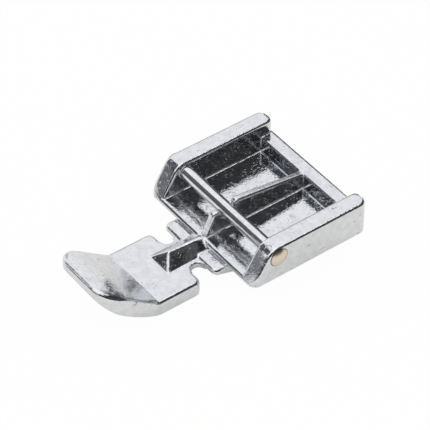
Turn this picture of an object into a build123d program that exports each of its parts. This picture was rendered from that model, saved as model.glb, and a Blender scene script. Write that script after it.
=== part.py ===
from build123d import *
import math
import os

# Clip-on zipper foot. Millimetres, +Z up, +Y to the rear of the machine.
# The origin lies on the sole plane, straight under the axis of the cross pin.

# Frame that carries the pin
frame_width = 20.0
frame_front = 3.6
frame_rear = 12.85
wing_lift = 2.6
floor_thickness = 0.55
wall_thickness = 2.3
wall_height = 4.5
wall_slope = 58.0
lip_height = 0.25
wall_nose_radius = 2.0
front_corner_radius = 1.2
rear_corner_radius = 1.1
rear_heel_radius = 1.2
wall_end_radius = 0.8
rim_radius = 0.36
underside_radius = 0.12

# Rear bar between the walls
bar_depth = 1.9
bar_height = 2.15
bar_foot_radius = 0.12
bar_front_radius = 0.3
bar_rear_radius = 0.3

# Divider between the two clip bays
divider_thickness = 0.85
divider_rear_height = 2.05
divider_peak_height = 3.45
divider_peak_radius = 0.45
divider_edge_radius = 0.2
fin_height = 2.85
fin_slope = 66.0
fin_setback = 0.4
fin_top_radius = 0.25

# Cross pin
pin_diameter = 1.7
pin_height = 5.7
pin_fit = 0.01
pin_slot_clearance = 0.2
head_diameter = 2.45
head_height = 0.45

# Toe
toe_width = 10.0
toe_thickness = 2.15
toe_rear = 7.0
toe_crease = 12.9
toe_tip = 20.3
tip_height = 7.0
tip_thickness = 1.4
sole_bend = 12.4
crease_angle = 30.0
tip_angle = 16.0
curl_handle = 2.4
sole_handle = 1.8
tip_underside_angle = 60.0
tip_underside_handle = 2.5
crease_radius = 0.3
toe_front_radius = 2.8
toe_rear_radius = 0.8
toe_edge_radius = 0.45

# Neck, needle notches and the ledge behind them
notch_width = 1.8
neck_width = 4.4
neck_lift = 1.4
notch_chamfer = 0.15
ledge_height = 2.4
ledge_corner_radius = 0.8
ledge_edge_radius = 0.38
ridge_width = 3.5
ridge_front = 9.4
ridge_peak = 8.05
ridge_height = 3.65
ridge_rear_height = 3.35
ridge_edge_radius = 0.3
ridge_root = 0.15
flare_length = 0.95
flare_width = 4.2
flare_drop = 0.2

# Sole pad under the frame
ramp_start = 4.8
ramp_length = 4.4
ramp_radius = 0.6
pad_rear = 11.4
pad_corner_radius = 1.2
pad_edge_radius = 0.4

# Places worked out from the sizes above
bay_half = frame_width / 2 - wall_thickness
floor_top = wing_lift + floor_thickness
wall_top = wing_lift + wall_height
bar_front = frame_rear - bar_depth
bar_top = floor_top + bar_height
ledge_front = toe_rear - notch_width
slot_radius = pin_diameter / 2 + pin_slot_clearance
overlap = 0.2
clearing = 1.0
tolerance = 0.01


def near(a, b):
    return abs(a - b) < tolerance


def reach(edge):
    box = edge.bounding_box()
    return box.min, box.max


def along(start, angle, length):
    turn = math.radians(angle)
    return (start[0] + length * math.cos(turn), start[1] + length * math.sin(turn))


def round_corners(face, corners):
    for place, radius in corners:
        face = fillet(face.vertices().sort_by_distance(place)[0], radius)
    return face


# A face drawn in (Y, Z) becomes a plate of the given width, centred on the middle plane.
def side_plate(face, width):
    return extrude(Plane.YZ.offset(-width / 2) * face, width)


def rounded_plan(width, front, rear, front_radius, rear_radius):
    plan = Pos(0, (front + rear) / 2) * Rectangle(width, rear - front)
    plan = fillet(plan.vertices().group_by(Axis.Y)[0], front_radius)
    return fillet(plan.vertices().group_by(Axis.Y)[-1], rear_radius)


# The frame starts as a block: plan, side view and front view give it its rounded corners.
def make_frame_block():
    plan = rounded_plan(frame_width, -frame_front, frame_rear, front_corner_radius, rear_corner_radius)
    block = extrude(Pos(0, 0, wing_lift) * plan, wall_height)
    lip_edge = (-frame_front, wing_lift)
    lip_foot = (-frame_front, wing_lift + lip_height)
    nose = along(lip_foot, wall_slope, (wall_height - lip_height) / math.sin(math.radians(wall_slope)))
    heel = (frame_rear, wing_lift)
    side = make_face(Polyline(lip_edge, lip_foot, nose, (frame_rear, wall_top), heel, close=True))
    side = round_corners(
        side, [(lip_edge, underside_radius), (nose, wall_nose_radius), (heel, rear_heel_radius)]
    )
    front = Pos(0, wing_lift + wall_height) * Rectangle(frame_width, 2 * wall_height)
    front = fillet(front.vertices().group_by(Axis.Y)[0], underside_radius)
    length = frame_front + frame_rear + 2 * clearing
    tunnel = extrude(Plane.XZ.offset(-frame_rear - clearing) * front, length)
    return block & side_plate(side, frame_width + clearing) & tunnel


# The clip bays are cut in one step; what stands behind them is the rear bar.
# The cut flares at the rear, which leaves both walls with rounded ends.
def make_bay_cut():
    foot = (bar_front, floor_top)
    front_edge = (bar_front, bar_top)
    rear_edge = (frame_rear, bar_top)
    front = -frame_front - clearing
    rear = frame_rear + clearing
    top = wall_top + clearing
    outline = make_face(
        Polyline(
            (front, floor_top),
            foot,
            front_edge,
            rear_edge,
            (frame_rear, wing_lift),
            (rear, wing_lift),
            (rear, top),
            (front, top),
            close=True,
        )
    )
    outline = round_corners(
        outline, [(foot, bar_foot_radius), (front_edge, bar_front_radius), (rear_edge, bar_rear_radius)]
    )
    widest = bay_half + wall_end_radius
    plan = Pos(0, (front + rear) / 2) * Rectangle(2 * bay_half, rear - front)
    mouth = Pos(0, frame_rear - wall_end_radius / 2) * Rectangle(2 * widest, wall_end_radius)
    for side in (-widest, widest):
        mouth = mouth - Pos(side, frame_rear - wall_end_radius) * Circle(wall_end_radius)
    return side_plate(outline, 2 * widest) & extrude(plan + mouth, top)


def is_outer_rim(edge):
    low, high = reach(edge)
    if edge.geom_type == GeomType.ELLIPSE:
        return True
    if near(low.Z, wall_top) and near(high.Y, frame_rear) and high.X - low.X > tolerance:
        return True
    on_side = near(low.X, high.X) and near(abs(low.X), frame_width / 2)
    return on_side and high.Z > floor_top and low.Z > wing_lift + tolerance and high.Y - low.Y > tolerance


def is_inner_rim(edge):
    low, high = reach(edge)
    if near(low.X, -bay_half) and near(high.X, bay_half):
        return near(low.Z, floor_top) and near(high.Z, floor_top) and high.Y < 0
    on_wall = near(low.X, high.X) and near(abs(low.X), bay_half)
    return on_wall and high.Z > bar_top + tolerance and high.Y - low.Y > tolerance


def make_frame():
    frame = make_frame_block() - make_bay_cut()
    rims = frame.edges().filter_by(is_outer_rim) + frame.edges().filter_by(is_inner_rim)
    return fillet(rims, rim_radius)


# The divider is one upright plate with a gap for the pin: a front fin, a rear blade and a low web between.
def make_divider():
    below = floor_top - overlap
    fin_foot = (-frame_front + fin_setback, floor_top)
    fin_peak = along(fin_foot, fin_slope, fin_height / math.sin(math.radians(fin_slope)))
    fin_back = (-slot_radius, floor_top + fin_height)
    fin = make_face(
        Polyline((fin_foot[0], below), fin_foot, fin_peak, fin_back, (-slot_radius, below), close=True)
    )
    fin = round_corners(fin, [(fin_peak, fin_top_radius), (fin_back, fin_top_radius)])
    peak = (slot_radius, floor_top + divider_peak_height)
    rear = (bar_front + overlap, floor_top + divider_rear_height)
    blade = make_face(Polyline((slot_radius, below), peak, rear, (rear[0], below), close=True))
    blade = round_corners(blade, [(peak, divider_peak_radius)])
    web_height = pin_height - below
    web_length = 2 * (slot_radius + divider_edge_radius)
    web = Pos(0, below + web_height / 2) * Rectangle(web_length, web_height)
    web = web - Pos(0, pin_height) * Circle(slot_radius)

    def is_free_edge(edge):
        low, high = reach(edge)
        return near(low.X, high.X) and high.Z > floor_top + tolerance and low.Y < bar_front

    def upright(face):
        plate = side_plate(face, divider_thickness)
        return fillet(plate.edges().filter_by(is_free_edge), divider_edge_radius)

    return upright(fin) + upright(blade) + side_plate(web, divider_thickness)


# The toe is flat from the notches to the crease, then curls up to a thin front edge.
def make_toe():
    crease = (-toe_crease, toe_thickness)
    tip_top = (-toe_tip, tip_height)
    tip_low = (-toe_tip, tip_height - tip_thickness)
    bend = (-sole_bend, 0)
    upper = Bezier(
        crease,
        along(crease, 180 - crease_angle, curl_handle),
        along(tip_top, -tip_angle, curl_handle),
        tip_top,
    )
    lower = Bezier(
        tip_low,
        along(tip_low, -tip_underside_angle, tip_underside_handle),
        (-sole_bend - sole_handle, 0),
        bend,
    )
    flat = Polyline(bend, (-toe_rear, 0), (-toe_rear, toe_thickness), crease)
    outline = make_face([upper, Line(tip_top, tip_low), lower, flat])
    outline = round_corners(outline, [(crease, crease_radius)])
    plan = rounded_plan(toe_width, -toe_tip, -toe_rear, toe_front_radius, toe_rear_radius)
    toe = extrude(plan, tip_height + clearing) & side_plate(outline, toe_width + clearing)

    def is_rim(edge):
        size = edge.bounding_box().size
        return size.X + size.Y > tolerance and size.X < toe_width - tolerance

    return fillet(toe.edges().filter_by(is_rim), toe_edge_radius)


# The neck joins toe and ledge between the two round-ended needle notches.
def make_neck():
    notch_radius = notch_width / 2
    notch_x = neck_width / 2 + notch_radius
    notch_y = -toe_rear + notch_radius
    front = -toe_rear - toe_edge_radius - overlap
    rear = -ledge_front + ledge_edge_radius + overlap
    height = toe_thickness - neck_lift
    plan = Pos(0, (front + rear) / 2) * Rectangle(2 * notch_x, rear - front)
    plan = plan - Pos(notch_x, notch_y) * Circle(notch_radius)
    plan = plan - Pos(-notch_x, notch_y) * Circle(notch_radius)
    neck = extrude(Pos(0, 0, neck_lift) * plan, height)
    rounds = neck.edges().filter_by(GeomType.CIRCLE).group_by(Axis.Z)[-1]
    return chamfer(rounds, notch_chamfer)


# A hipped ridge stiffens the neck. It stands on the toe, runs back to the frame and flares where they meet.
def make_ridge():
    base = toe_thickness - ridge_root
    fall = (ridge_height - ridge_rear_height) / (ridge_peak - frame_front)
    rear = -frame_front + overlap
    flare_start = -frame_front - flare_length

    def top_at(y):
        return ridge_height - fall * (y + ridge_peak)

    def section(y, width):
        half = width / 2 * (top_at(y) - base) / (top_at(y) - toe_thickness)
        shape = make_face(Polyline((-half, base), (half, base), (0, top_at(y)), close=True))
        return Plane((0, y, 0), x_dir=(1, 0, 0), z_dir=(0, -1, 0)) * shape

    roof = loft([section(rear, ridge_width), section(-ridge_front - clearing, ridge_width)])
    peak = (-ridge_peak, ridge_height)
    foot = (-ridge_front, toe_thickness)
    rise = math.degrees(math.atan2(peak[1] - foot[1], peak[0] - foot[0]))
    low = along(foot, rise, -clearing)
    high = along(peak, rise, clearing)
    front = -ridge_front - 2 * clearing
    hip = make_face(Polyline(low, high, (front, high[1]), (front, low[1]), close=True))
    roof = roof - side_plate(hip, toe_width)
    hips = roof.edges().filter_by(lambda edge: near(edge.bounding_box().max.Z, ridge_height))
    roof = fillet(hips, ridge_edge_radius)
    growth = (flare_width - ridge_width) * (1 + overlap / flare_length)
    flare = loft([section(rear, ridge_width + growth), section(flare_start, ridge_width)])
    crown = top_at(flare_start) - flare_drop
    above = Pos(0, flare_start, crown + clearing) * Box(toe_width, 4 * clearing, 2 * clearing)
    return roof + (flare - above)


# The ledge behind the notches and the sole pad under the frame are one body.
def make_ledge_and_pad():
    top = floor_top - overlap
    ramp_foot = (-ramp_start, neck_lift)
    sole_front = (-ramp_start + ramp_length, 0)
    outline = make_face(
        Polyline(
            (-ledge_front, neck_lift),
            (-ledge_front, ledge_height),
            (-frame_front + overlap, ledge_height),
            (-frame_front + overlap, top),
            (pad_rear, top),
            (pad_rear, 0),
            sole_front,
            ramp_foot,
            close=True,
        )
    )
    outline = round_corners(outline, [(ramp_foot, ramp_radius), (sole_front, ramp_radius)])
    plan = rounded_plan(toe_width, -ledge_front, pad_rear, ledge_corner_radius, pad_corner_radius)
    body = extrude(plan, wall_top) & side_plate(outline, toe_width + clearing)

    def is_ledge_rim(edge):
        low, high = reach(edge)
        return near(low.Z, ledge_height) and near(high.Z, ledge_height) and low.Y < -frame_front

    def is_sole_rim(edge):
        low, high = reach(edge)
        return near(low.Z, 0) and near(high.Z, 0) and high.Y > pad_rear - pad_corner_radius - tolerance

    body = fillet(body.edges().filter_by(is_ledge_rim), ledge_edge_radius)
    return chamfer(body.edges().filter_by(is_sole_rim), pad_edge_radius)


# The pin is a plain round bar whose ends are upset into domes on the walls' outer faces.
def make_pin():
    outer = frame_width / 2
    shaft_radius = pin_diameter / 2
    head_radius = head_diameter / 2
    dome_radius = (head_radius**2 + head_height**2) / (2 * head_height)
    left = (-outer - head_height, 0)
    right = (outer + head_height, 0)
    outline = make_face(
        [
            RadiusArc(left, (-outer, head_radius), dome_radius),
            Polyline(
                (-outer, head_radius), (-outer, shaft_radius), (outer, shaft_radius), (outer, head_radius)
            ),
            RadiusArc((outer, head_radius), right, dome_radius),
            Line(right, left),
        ]
    )
    return Pos(0, 0, pin_height) * revolve(outline, Axis.X)


casting = make_frame() + make_divider() + make_toe() + make_neck() + make_ridge() + make_ledge_and_pad()
pin_hole = Pos(0, 0, pin_height) * Rot(0, 90, 0) * Cylinder(pin_diameter / 2 + pin_fit, frame_width)
casting = casting - pin_hole

os.makedirs("parts", exist_ok=True)
export_step(casting, "parts/foot_casting.step")
export_step(make_pin(), "parts/shank_pin.step")
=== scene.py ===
import math

import bpy
from mathutils import Matrix, Vector


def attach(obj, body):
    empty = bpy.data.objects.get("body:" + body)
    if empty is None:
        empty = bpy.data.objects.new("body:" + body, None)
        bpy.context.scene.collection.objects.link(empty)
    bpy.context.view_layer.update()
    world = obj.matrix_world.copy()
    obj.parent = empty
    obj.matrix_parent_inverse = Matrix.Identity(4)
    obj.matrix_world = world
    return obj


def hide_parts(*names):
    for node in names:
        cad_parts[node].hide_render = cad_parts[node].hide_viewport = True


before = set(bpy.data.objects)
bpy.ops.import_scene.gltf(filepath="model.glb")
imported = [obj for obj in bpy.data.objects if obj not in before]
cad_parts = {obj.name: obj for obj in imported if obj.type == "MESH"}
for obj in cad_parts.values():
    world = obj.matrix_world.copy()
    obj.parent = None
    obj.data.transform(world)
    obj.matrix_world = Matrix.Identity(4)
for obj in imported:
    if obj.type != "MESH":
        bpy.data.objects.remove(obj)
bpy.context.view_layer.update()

# Casting. Toe, ridged neck and the frame with its two bays are one zinc die casting,
# tumbled so that no edge is sharp, then plated with nickel and bright chrome.
# The cross pin is riveted through its two side walls.
casting_smooth_angle = 25
same_point = 0.000001


def merged_copy(node_name, piece_name, smooth_angle):
    piece = bpy.data.objects.new(piece_name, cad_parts[node_name].data.copy())
    bpy.context.collection.objects.link(piece)
    bpy.ops.object.select_all(action="DESELECT")
    piece.select_set(True)
    bpy.context.view_layer.objects.active = piece
    bpy.ops.mesh.customdata_custom_splitnormals_clear()
    bpy.ops.object.mode_set(mode="EDIT")
    bpy.ops.mesh.select_all(action="SELECT")
    bpy.ops.mesh.remove_doubles(threshold=same_point)
    bpy.ops.object.mode_set(mode="OBJECT")
    bpy.ops.object.shade_smooth_by_angle(angle=math.radians(smooth_angle))
    flats = piece.modifiers.new("flats", "WEIGHTED_NORMAL")
    flats.keep_sharp = True
    bpy.ops.object.modifier_apply(modifier=flats.name)
    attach(piece, "root")
    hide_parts(node_name)
    return piece


casting = merged_copy("foot_casting", "plated_casting", casting_smooth_angle)


def to_linear(colour):
    parts = [int(colour[i : i + 2], 16) / 255 for i in (1, 3, 5)]
    parts = [p / 12.92 if p <= 0.04045 else ((p + 0.055) / 1.055) ** 2.4 for p in parts]
    return (*parts, 1.0)


def bare_material(name):
    material = bpy.data.materials.new(name)
    material.use_nodes = True
    material.node_tree.nodes.clear()
    return material


def add_node(tree, kind, settings=None, sockets=None, links=None, grades=None):
    node = tree.nodes.new(kind)
    for name, value in (settings or {}).items():
        setattr(node, name, value)
    for name, value in (sockets or {}).items():
        node.inputs[name].default_value = value
    for name, source in (links or {}).items():
        tree.links.new(source, node.inputs[name])
    if grades:
        stops = node.color_ramp.elements
        while len(stops) < len(grades):
            stops.new(0.5)
        for stop, (share, colour) in zip(stops, grades):
            stop.position = share
            stop.color = to_linear(colour)
    return node


# Bright chrome over a die-cast skin: a cool mirror that the casting's swells and orange peel
# make ragged at each edge of a reflection. Fine pits sparkle in the dark ones, and faint scuffs
# take the shine off. Pits and scuffs are drawn coarser than real, so that they show here.
chrome = bare_material("bright_chrome_plating")
tree = chrome.node_tree
place = add_node(tree, "ShaderNodeTexCoord").outputs["Object"]

edge_break = 0.00038
broken_edge = add_node(tree, "ShaderNodeBevel", {"samples": 16}, {"Radius": edge_break})

swell_width = 0.0022
swell_depth = 0.000025
swell = add_node(
    tree,
    "ShaderNodeTexNoise",
    sockets={"Scale": 1 / swell_width, "Detail": 1.0},
    links={"Vector": place},
)
swelled = add_node(
    tree,
    "ShaderNodeBump",
    sockets={"Strength": 1.0, "Distance": swell_depth},
    links={"Height": swell.outputs["Fac"], "Normal": broken_edge.outputs["Normal"]},
)

peel_width = 0.00022
peel_depth = 0.000013
peel = add_node(
    tree,
    "ShaderNodeTexNoise",
    sockets={"Scale": 1 / peel_width, "Detail": 1.0, "Roughness": 0.6},
    links={"Vector": place},
)
peeled = add_node(
    tree,
    "ShaderNodeBump",
    sockets={"Strength": 1.0, "Distance": peel_depth},
    links={"Height": peel.outputs["Fac"], "Normal": swelled.outputs["Normal"]},
)

pit_width = 0.0003
pit_depth = 0.000012
pit_rim, pit_floor = 0.6, 0.7
pit_field = add_node(
    tree,
    "ShaderNodeTexNoise",
    sockets={"Scale": 1 / pit_width, "Detail": 1.0},
    links={"Vector": place},
)
all_pits = add_node(
    tree,
    "ShaderNodeMapRange",
    {"interpolation_type": "SMOOTHSTEP"},
    {"From Min": pit_rim, "From Max": pit_floor},
    {"Value": pit_field.outputs["Fac"]},
)
cluster_width = 0.0011
cluster_edge, cluster_core = 0.42, 0.56
cluster_field = add_node(
    tree,
    "ShaderNodeTexNoise",
    sockets={"Scale": 1 / cluster_width, "Detail": 1.0},
    links={"Vector": place},
)
clusters = add_node(
    tree,
    "ShaderNodeMapRange",
    {"interpolation_type": "SMOOTHSTEP"},
    {"From Min": cluster_edge, "From Max": cluster_core},
    {"Value": cluster_field.outputs["Fac"]},
)
pits = add_node(
    tree,
    "ShaderNodeMath",
    {"operation": "MULTIPLY"},
    links={0: all_pits.outputs["Result"], 1: clusters.outputs["Result"]},
)
pitted = add_node(
    tree,
    "ShaderNodeBump",
    {"invert": True},
    {"Strength": 1.0, "Distance": pit_depth},
    {"Height": pits.outputs["Value"], "Normal": peeled.outputs["Normal"]},
)

scuff_length = 0.0016
scuff_slant = (0.3, 0.2, 0.6)
scuff_stretch = (4.0, 1.0, 4.0)
scuff_edge, scuff_core = 0.66, 0.74
polished_roughness = 0.035
scuffed_roughness = 0.14
scuff_lines = add_node(
    tree,
    "ShaderNodeMapping",
    sockets={"Rotation": scuff_slant, "Scale": scuff_stretch},
    links={"Vector": place},
)
scuff_field = add_node(
    tree,
    "ShaderNodeTexNoise",
    sockets={"Scale": 1 / scuff_length, "Detail": 3.0, "Distortion": 1.2},
    links={"Vector": scuff_lines.outputs["Vector"]},
)
scuffs = add_node(
    tree,
    "ShaderNodeMapRange",
    {"interpolation_type": "SMOOTHSTEP"},
    {"From Min": scuff_edge, "From Max": scuff_core},
    {"Value": scuff_field.outputs["Fac"]},
)
shine = add_node(
    tree,
    "ShaderNodeMapRange",
    sockets={"To Min": polished_roughness, "To Max": scuffed_roughness},
    links={"Value": scuffs.outputs["Result"]},
)

haze_width = 0.0009
haze = add_node(
    tree,
    "ShaderNodeTexNoise",
    sockets={"Scale": 1 / haze_width, "Detail": 4.0},
    links={"Vector": place},
)
chrome_tint = add_node(
    tree,
    "ShaderNodeValToRGB",
    links={"Fac": haze.outputs["Fac"]},
    grades=[(0.35, "#dddee1"), (0.65, "#e9eaec")],
)
worn_tint = add_node(
    tree,
    "ShaderNodeMix",
    {"data_type": "RGBA"},
    {"B": to_linear("#8f8e8c")},
    {"Factor": scuffs.outputs["Result"], "A": chrome_tint.outputs["Color"]},
)
chrome_surface = add_node(
    tree,
    "ShaderNodeBsdfPrincipled",
    sockets={"Metallic": 1.0},
    links={
        "Base Color": worn_tint.outputs["Result"],
        "Roughness": shine.outputs["Result"],
        "Normal": pitted.outputs["Normal"],
    },
)
add_node(tree, "ShaderNodeOutputMaterial", links={"Surface": chrome_surface.outputs["BSDF"]})
casting.data.materials.clear()
casting.data.materials.append(chrome)

# Cross pin. A plain steel bar, nickel plated, pushed through both walls; its two ends are
# upset into low domes on the outer faces, which keeps it from turning or sliding.
pin_smooth_angle = 40
pin = merged_copy("shank_pin", "riveted_pin", pin_smooth_angle)

# Nickel plate on drawn steel: a neutral white bar with drawing lines that soften its highlights,
# and warmer, duller heads with a ring of painted shade where they meet the wall. The real lines
# are about 0.02 mm apart, too fine to show here, so they are drawn six times as coarse.
nickel = bare_material("nickel_plated_steel")
tree = nickel.node_tree
place = add_node(tree, "ShaderNodeTexCoord").outputs["Object"]

line_gap = 0.00012
line_depth = 0.000001
line_stretch = (0.04, 1.0, 1.0)
drawn = add_node(
    tree, "ShaderNodeMapping", sockets={"Scale": line_stretch}, links={"Vector": place}
)
lines = add_node(
    tree,
    "ShaderNodeTexNoise",
    sockets={"Scale": 1 / line_gap, "Detail": 2.0},
    links={"Vector": drawn.outputs["Vector"]},
)
lined = add_node(
    tree,
    "ShaderNodeBump",
    sockets={"Strength": 1.0, "Distance": line_depth},
    links={"Height": lines.outputs["Fac"]},
)

dent_width = 0.0006
dent_depth = 0.000006
dents = add_node(
    tree,
    "ShaderNodeTexNoise",
    sockets={"Scale": 1 / dent_width, "Detail": 1.0},
    links={"Vector": place},
)
dented = add_node(
    tree,
    "ShaderNodeBump",
    sockets={"Strength": 1.0, "Distance": dent_depth},
    links={"Height": dents.outputs["Fac"], "Normal": lined.outputs["Normal"]},
)
bar_tint = add_node(
    tree,
    "ShaderNodeValToRGB",
    links={"Fac": dents.outputs["Fac"]},
    grades=[(0.3, "#e0e1e3"), (0.7, "#f0f1f2")],
)

# The heads begin at the walls' outer faces, 10 mm from the middle.
head_start = 0.00998
# Painted shade: towards the wall each head darkens to a brown ring, standing in for the shade in
# the gap between head and wall.
ring_shade_start, ring_shade_end = 0.01002, 0.01012
across = add_node(tree, "ShaderNodeSeparateXYZ", links={"Vector": place})
outward = add_node(
    tree, "ShaderNodeMath", {"operation": "ABSOLUTE"}, links={0: across.outputs["X"]}
)
on_head = add_node(
    tree,
    "ShaderNodeMath",
    {"operation": "GREATER_THAN"},
    {1: head_start},
    {0: outward.outputs["Value"]},
)
ring_shade = add_node(
    tree,
    "ShaderNodeMapRange",
    {"interpolation_type": "SMOOTHSTEP"},
    {"From Min": ring_shade_start, "From Max": ring_shade_end},
    {"Value": outward.outputs["Value"]},
)
head_tint_with_shade = add_node(
    tree,
    "ShaderNodeMix",
    {"data_type": "RGBA"},
    {"A": to_linear("#6e614e"), "B": to_linear("#e8dcc8")},
    {"Factor": ring_shade.outputs["Result"]},
)
pin_tint = add_node(
    tree,
    "ShaderNodeMix",
    {"data_type": "RGBA"},
    links={
        "Factor": on_head.outputs["Value"],
        "A": bar_tint.outputs["Color"],
        "B": head_tint_with_shade.outputs["Result"],
    },
)

smooth_bar_roughness = 0.1
lined_bar_roughness = 0.18
head_roughness = 0.28
bar_shine = add_node(
    tree,
    "ShaderNodeMapRange",
    sockets={"To Min": smooth_bar_roughness, "To Max": lined_bar_roughness},
    links={"Value": lines.outputs["Fac"]},
)
pin_shine = add_node(
    tree,
    "ShaderNodeMix",
    {"data_type": "FLOAT"},
    {"B": head_roughness},
    {"Factor": on_head.outputs["Value"], "A": bar_shine.outputs["Result"]},
)
nickel_surface = add_node(
    tree,
    "ShaderNodeBsdfPrincipled",
    sockets={"Metallic": 1.0},
    links={
        "Base Color": pin_tint.outputs["Result"],
        "Roughness": pin_shine.outputs["Result"],
        "Normal": dented.outputs["Normal"],
    },
)
add_node(tree, "ShaderNodeOutputMaterial", links={"Surface": nickel_surface.outputs["BSDF"]})
pin.data.materials.clear()
pin.data.materials.append(nickel)

# Table. A white matt sheet that the foot lies on. The camera sees it as nearly plain white and
# the mirror finish in part; the rest is its own shading, so that the foot keeps its soft shadow.
table_size = 3.0
table_drop = 0.00002
white_to_camera = 0.97
white_to_mirror = 0.2
bpy.ops.object.select_all(action="DESELECT")
bpy.ops.mesh.primitive_plane_add(size=table_size, location=(0.0, 0.0, -table_drop))
table = bpy.context.active_object
table.name = "table"

# Matt white paper: no gloss at all, a little warm in the shade.
paper = bare_material("white_matt_paper")
tree = paper.node_tree
ray = add_node(tree, "ShaderNodeLightPath")
seen = add_node(
    tree,
    "ShaderNodeMath",
    {"operation": "ADD", "use_clamp": True},
    links={0: ray.outputs["Is Camera Ray"], 1: ray.outputs["Is Transmission Ray"]},
)
seen_white = add_node(
    tree,
    "ShaderNodeMath",
    {"operation": "MULTIPLY"},
    {1: white_to_camera},
    {0: seen.outputs["Value"]},
)
white_share = add_node(
    tree,
    "ShaderNodeMath",
    {"operation": "MULTIPLY_ADD", "use_clamp": True},
    {1: white_to_mirror},
    {0: ray.outputs["Is Glossy Ray"], 2: seen_white.outputs["Value"]},
)
matt = add_node(tree, "ShaderNodeBsdfDiffuse", sockets={"Color": to_linear("#f2f1ee")})
white = add_node(
    tree, "ShaderNodeEmission", sockets={"Color": to_linear("#ffffff"), "Strength": 1.0}
)
sheet = add_node(
    tree,
    "ShaderNodeMixShader",
    links={
        0: white_share.outputs["Value"],
        1: matt.outputs["BSDF"],
        2: white.outputs["Emission"],
    },
)
add_node(tree, "ShaderNodeOutputMaterial", links={"Surface": sheet.outputs["Shader"]})
table.data.materials.append(paper)

# Light. A white tent stands all round, and the camera and the mirror finish see its cloth.
# One soft box hangs overhead and whitens the rounded edges.
tent_glow = 0.91
tent = bpy.data.worlds.new("white_tent")
bpy.context.scene.world = tent
tent.use_nodes = True
tree = tent.node_tree
tree.nodes.clear()
ray = add_node(tree, "ShaderNodeLightPath")
seen_plain = add_node(
    tree,
    "ShaderNodeMath",
    {"operation": "ADD", "use_clamp": True},
    links={0: ray.outputs["Is Camera Ray"], 1: ray.outputs["Is Glossy Ray"]},
)
seen_cloth = add_node(
    tree,
    "ShaderNodeMath",
    {"operation": "ADD", "use_clamp": True},
    links={0: seen_plain.outputs["Value"], 1: ray.outputs["Is Transmission Ray"]},
)
glow = add_node(
    tree, "ShaderNodeBackground", sockets={"Color": to_linear("#ffffff"), "Strength": tent_glow}
)
cloth = add_node(
    tree, "ShaderNodeBackground", sockets={"Color": to_linear("#f9fafd"), "Strength": 1.0}
)
tent_light = add_node(
    tree,
    "ShaderNodeMixShader",
    links={
        0: seen_cloth.outputs["Value"],
        1: glow.outputs["Background"],
        2: cloth.outputs["Background"],
    },
)
add_node(tree, "ShaderNodeOutputWorld", links={"Surface": tent_light.outputs["Shader"]})

soft_box = bpy.data.lights.new("soft_box", "AREA")
soft_box.shape = "SQUARE"
soft_box.size = 0.3
soft_box.energy = 0.065
hung_box = bpy.data.objects.new("soft_box", soft_box)
hung_box.location = (-0.06, -0.06, 0.42)
bpy.context.collection.objects.link(hung_box)

# Small lamp. A round face of opal glass, high up behind the foot, seen in the mirror finish only.
# It draws the thin white line along the rounded edges and in the corners of the bays.
# Azimuths here count from the foot's right side towards its rear.
lamp_distance = 0.25
lamp_azimuth = 76
lamp_elevation = 63
lamp_radius = 0.023
lamp_strength = 2.4
lamp_aim = Vector((0.0, 1.0, 0.0))
lamp_aim.rotate(Matrix.Rotation(math.radians(lamp_elevation), 3, "X"))
lamp_aim.rotate(Matrix.Rotation(math.radians(lamp_azimuth - 90), 3, "Z"))
bpy.ops.object.select_all(action="DESELECT")
bpy.ops.mesh.primitive_circle_add(vertices=48, radius=lamp_radius, fill_type="NGON")
lamp_face = bpy.context.active_object
lamp_face.name = "lamp_face"
lamp_turn = lamp_aim.to_track_quat("Z", "Y").to_matrix().to_4x4()
lamp_face.data.transform(Matrix.Translation(lamp_distance * lamp_aim) @ lamp_turn)


def show_in_mirror_only(card):
    card.visible_camera = False
    card.visible_diffuse = False
    card.visible_shadow = False


show_in_mirror_only(lamp_face)

# Opal glass, lit from inside: an even white all over.
opal = bare_material("opal_lamp_glass")
opal.cycles.emission_sampling = "NONE"
tree = opal.node_tree
lit = add_node(
    tree, "ShaderNodeEmission", sockets={"Color": to_linear("#ffffff"), "Strength": lamp_strength}
)
add_node(tree, "ShaderNodeOutputMaterial", links={"Surface": lit.outputs["Emission"]})
lamp_face.data.materials.append(opal)


# Boards. Dark and grey cards stand on the table round the foot, seen in the mirror finish only;
# they glow with painted shades instead of being lit. Bright metal looks like metal only where it
# has something dark to show.
# Two small boards stand close, one behind the foot and one beside the toe.
def standing_board(side, azimuth, half_spread, top_angle, distance, grades):
    width = 2 * distance * math.tan(math.radians(half_spread))
    height = distance * math.tan(math.radians(top_angle))
    bpy.ops.object.select_all(action="DESELECT")
    bpy.ops.mesh.primitive_plane_add(size=1.0)
    card = bpy.context.active_object
    card.name = "board_" + side
    sized = Matrix.Diagonal((width, height, 1.0, 1.0))
    upright = Matrix.Rotation(math.radians(90), 4, "X") @ sized
    away = Matrix.Translation((0.0, distance, height / 2))
    stand = Matrix.Rotation(math.radians(azimuth - 90), 4, "Z") @ away
    card.data.transform(stand @ upright)
    show_in_mirror_only(card)

    # Painted shade on a glowing card, not a lit matt one: graded from its foot to its upper edge,
    # lightening to near white at the top, so that a reflection has soft ends.
    # Each grade is a share of the card's height with the colour there.
    board = bare_material(side + "_card")
    tree = board.node_tree
    sheet = add_node(tree, "ShaderNodeTexCoord")
    up = add_node(tree, "ShaderNodeSeparateXYZ", links={"Vector": sheet.outputs["UV"]})
    shade = add_node(
        tree, "ShaderNodeValToRGB", links={"Fac": up.outputs["Y"]}, grades=grades
    )
    painted_card_glow = add_node(
        tree,
        "ShaderNodeEmission",
        sockets={"Strength": 1.0},
        links={"Color": shade.outputs["Color"]},
    )
    add_node(tree, "ShaderNodeOutputMaterial", links={"Surface": painted_card_glow.outputs["Emission"]})
    card.data.materials.append(board)


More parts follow.
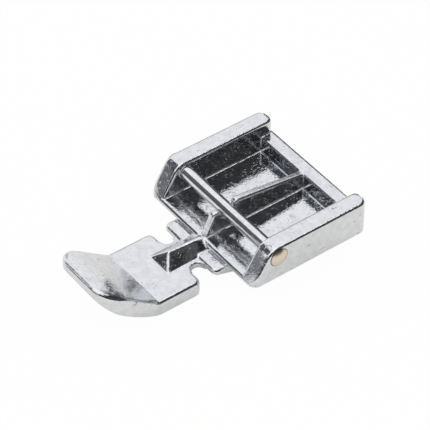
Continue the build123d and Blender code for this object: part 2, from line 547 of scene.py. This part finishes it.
standing_board(
    "right",
    azimuth=20,
    half_spread=42,
    top_angle=70,
    distance=0.3,
    grades=[
        (0.0, "#4c4c4e"),
        (0.22, "#4e4e50"),
        (0.3, "#3a3a3b"),
        (0.36, "#262627"),
        (0.44, "#666667"),
        (0.52, "#222223"),
        (0.8, "#3a3a3b"),
        (1.0, "#d8d8d8"),
    ],
)
standing_board(
    "rear",
    azimuth=80,
    half_spread=18,
    top_angle=74,
    distance=0.3,
    grades=[
        (0.0, "#38383a"),
        (0.35, "#3a3a3c"),
        (0.6, "#4e4e50"),
        (0.72, "#b0b0b0"),
        (1.0, "#e0e0e0"),
    ],
)
standing_board(
    "corner",
    azimuth=106,
    half_spread=8,
    top_angle=52,
    distance=0.3,
    grades=[(0.0, "#38383a"), (0.75, "#3a3a3c"), (1.0, "#b8b8b8")],
)
standing_board(
    "front",
    azimuth=315,
    half_spread=26,
    top_angle=55,
    distance=0.32,
    grades=[(0.0, "#2c2c2d"), (0.8, "#303031"), (1.0, "#d8d8d8")],
)
standing_board(
    "left",
    azimuth=234.5,
    half_spread=6.5,
    top_angle=50,
    distance=0.3,
    grades=[
        (0.0, "#98989b"),
        (0.06, "#7c7c81"),
        (0.15, "#58585c"),
        (0.24, "#444447"),
        (0.34, "#444447"),
        (0.86, "#58585c"),
        (1.0, "#fafafa"),
    ],
)
standing_board(
    "side",
    azimuth=216,
    half_spread=12,
    top_angle=51,
    distance=0.31,
    grades=[
        (0.0, "#d0d0d2"),
        (0.17, "#c8c8ca"),
        (0.28, "#5e6168"),
        (0.66, "#666b74"),
        (0.76, "#3a3c40"),
        (0.9, "#404246"),
        (1.0, "#fafafa"),
    ],
)
standing_board(
    "low",
    azimuth=265,
    half_spread=26,
    top_angle=30,
    distance=0.3,
    grades=[
        (0.0, "#98989b"),
        (0.15, "#68686c"),
        (0.35, "#4a4a4d"),
        (0.6, "#656568"),
        (1.0, "#fafafa"),
    ],
)
standing_board(
    "far",
    azimuth=123.2,
    half_spread=9.8,
    top_angle=37,
    distance=0.06,
    grades=[(0.0, "#505052"), (0.72, "#565658"), (1.0, "#d8d8da")],
)
standing_board(
    "toe",
    azimuth=246.9,
    half_spread=4.16,
    top_angle=33.3,
    distance=0.0426,
    grades=[(0.0, "#7c7c81"), (0.4, "#7c7c81"), (0.48, "#f0f0f0"), (1.0, "#f0f0f0")],
)
standing_board(
    "grey",
    azimuth=152,
    half_spread=14,
    top_angle=30,
    distance=0.3,
    grades=[(0.0, "#b8b8b8"), (0.7, "#bcbcbc"), (1.0, "#f0f0f0")],
)

# Camera. The photograph's own place and lens, solved from the part's straight edges.
# It looks down on the foot's toe and right side from a little over a quarter of a metre,
# and its azimuth counts from the foot's front towards its right side.
picture_pixels = 430
focal_pixels = 2393.7
sensor_width = 36.0
nearest_seen = 0.01
azimuth = math.radians(53.48)
elevation = math.radians(43.35)
roll = math.radians(-0.15)
eye_right, eye_top, eye_back = -0.00121, 0.00338, 0.27699
back = Vector(
    (
        math.sin(azimuth) * math.cos(elevation),
        -math.cos(azimuth) * math.cos(elevation),
        math.sin(elevation),
    )
)
level = Vector((math.cos(azimuth), math.sin(azimuth), 0.0))
upright = back.cross(level)
right = math.cos(roll) * level + math.sin(roll) * upright
top = math.cos(roll) * upright - math.sin(roll) * level
eye = eye_right * right + eye_top * top + eye_back * back
camera_data = bpy.data.cameras.new("camera")
camera_data.sensor_width = sensor_width
camera_data.lens = sensor_width * focal_pixels / picture_pixels
camera_data.clip_start = nearest_seen
camera = bpy.data.objects.new("camera", camera_data)
camera.matrix_world = Matrix.Translation(eye) @ Matrix((right, top, back)).transposed().to_4x4()
bpy.context.collection.objects.link(camera)
bpy.context.scene.camera = camera
bpy.context.scene.view_settings.view_transform = "Standard"
